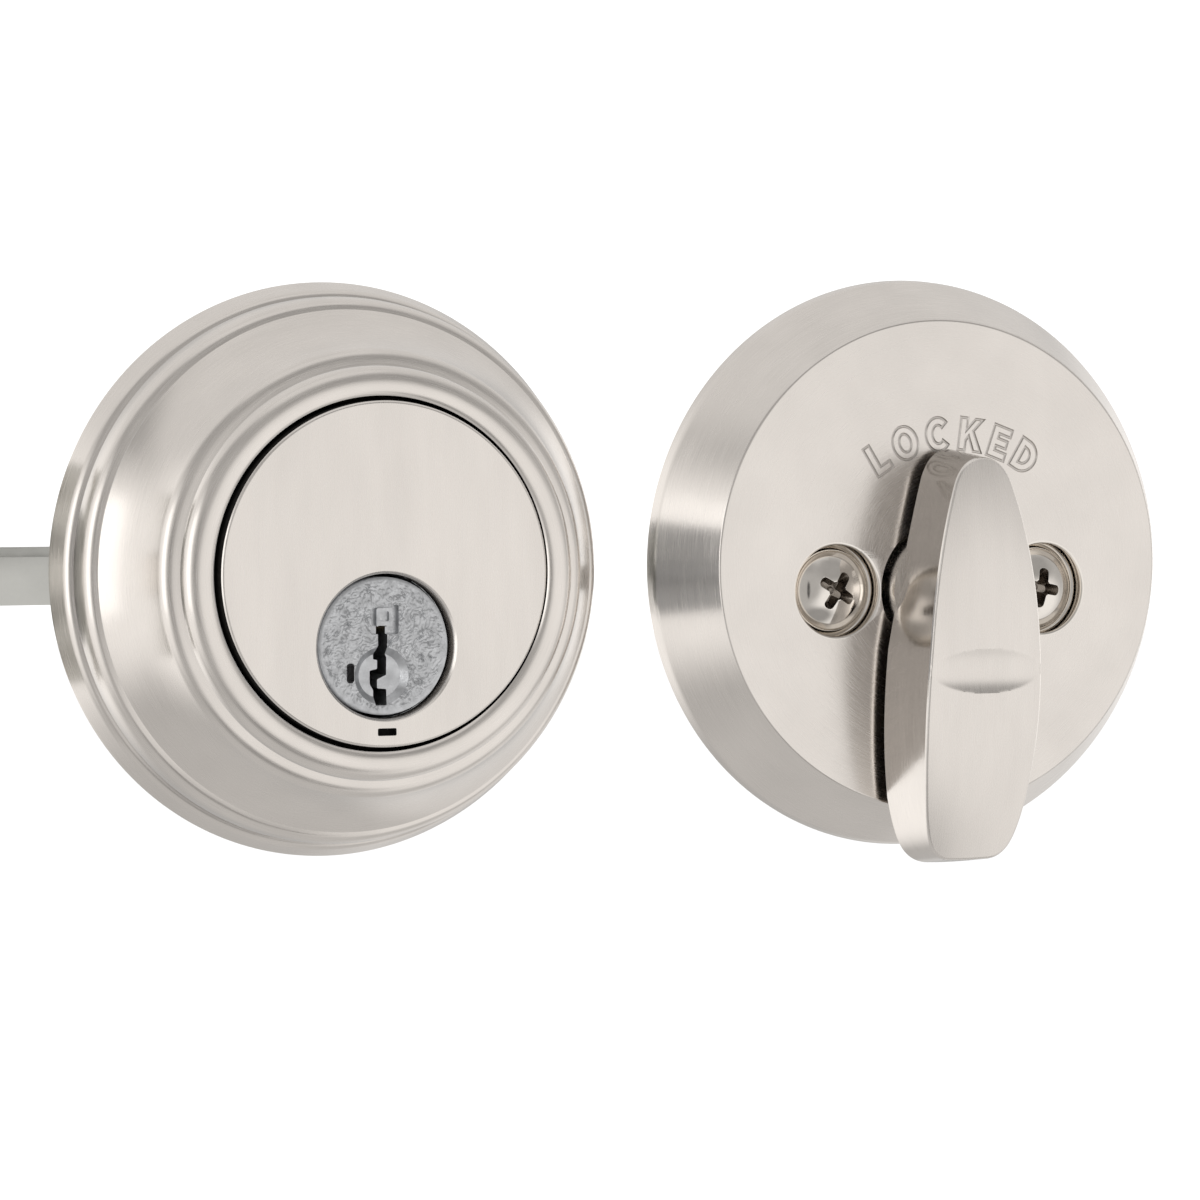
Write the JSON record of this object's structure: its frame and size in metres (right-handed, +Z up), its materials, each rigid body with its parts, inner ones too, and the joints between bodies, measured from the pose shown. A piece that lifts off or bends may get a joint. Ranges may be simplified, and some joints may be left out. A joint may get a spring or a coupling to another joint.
{
  "type": "deadbolt door lock",
  "caption": "Single-cylinder deadbolt in satin nickel: moulded outside ring with keyed cylinder, thrown bolt with its case, and round inside cover with a thumbturn.",
  "frame": {"origin": "on the key's turning axis, in the plane of the door's outer face, on which the backs of both halves lie", "axes": "+X along the door away from its edge, +Y into the door, +Z up; both halves face -Y, and the bolt is thrown towards -X"},
  "size_m": [0.1963, 0.0693, 0.0707],
  "materials": {
    "satin_nickel": "fine brushed satin nickel plate",
    "polished_nickel": "mirror-polished nickel plate",
    "cast_zinc": "matt grey die-cast zinc with a fine flow texture",
    "plated_steel": "zinc-plated pressed steel",
    "hard_steel": "hardened and spring steel, oiled",
    "brass": "turned brass",
    "nylon": "moulded nylon"
  },
  "bodies": {
    "root": {"rose": "satin_nickel", "rose_support_ring": "plated_steel", "cylinder_guard": "satin_nickel", "cylinder_housing": "cast_zinc", "spring_cover": "brass", "driver_pin_1": "brass", "driver_pin_2": "brass", "driver_pin_3": "brass", "driver_pin_4": "brass", "driver_pin_5": "brass", "pin_spring_1": "hard_steel", "pin_spring_2": "hard_steel", "pin_spring_3": "hard_steel", "pin_spring_4": "hard_steel", "pin_spring_5": "hard_steel", "faceplate": "satin_nickel", "bolt_tube": "plated_steel", "face_screw_upper": "polished_nickel", "face_screw_lower": "polished_nickel", "case_plate_front": "plated_steel", "case_plate_rear": "plated_steel", "case_rivet_1": "hard_steel", "case_rivet_2": "hard_steel", "case_rivet_3": "hard_steel", "case_rivet_4": "hard_steel", "hub_detent_leaf": "hard_steel", "inside_cover": "satin_nickel", "backing_plate": "plated_steel", "mounting_screw_left": "polished_nickel", "mounting_screw_right": "polished_nickel", "turn_bushing": "nylon", "turn_washer": "hard_steel"},
    "plug": {"key_plug": "cast_zinc", "plug_clip": "hard_steel", "tailpiece_cap": "plated_steel", "key_pin_1": "brass", "key_pin_2": "brass", "key_pin_3": "brass", "key_pin_4": "brass", "key_pin_5": "brass"},
    "drive": {"tailpiece": "plated_steel", "drive_hub": "plated_steel"},
    "bolt": {"bolt": "satin_nickel", "bolt_tail": "plated_steel", "tail_rivet": "hard_steel"},
    "saw_stop": {"saw_stop_pin": "hard_steel"},
    "thumbturn": {"thumbturn": "satin_nickel", "turn_clip": "hard_steel"}
  },
  "joints": [
    {"name": "turn_hinge", "type": "hinge", "parent": "root", "child": "thumbturn", "pos_m": [0.076, 0, 0.00515], "axis": [0, -1, 0], "range_deg": [0, 90]},
    {"name": "drive_hinge", "type": "hinge", "parent": "root", "child": "drive", "pos_m": [0, 0, 0], "axis": [0, 1, 0], "range_deg": [0, 90]},
    {"name": "bolt_slide", "type": "slide", "parent": "root", "child": "bolt", "axis": [1, 0, 0], "range_m": [0, 0.0254]},
    {"name": "plug_hinge", "type": "hinge", "parent": "root", "child": "plug", "pos_m": [0, 0, 0], "axis": [0, 1, 0], "range_deg": [-90, 90]},
    {"name": "saw_stop_spin", "type": "hinge", "parent": "bolt", "child": "saw_stop", "pos_m": [-0.068, 0.022, 0.0068], "axis": [1, 0, 0], "continuous": true}
  ],
  "couplings": [
    {"joint": "drive_hinge", "follows": "turn_hinge", "ratio": 1},
    {"joint": "bolt_slide", "follows": "turn_hinge", "m_per_rad": 0.01617}
  ]
}
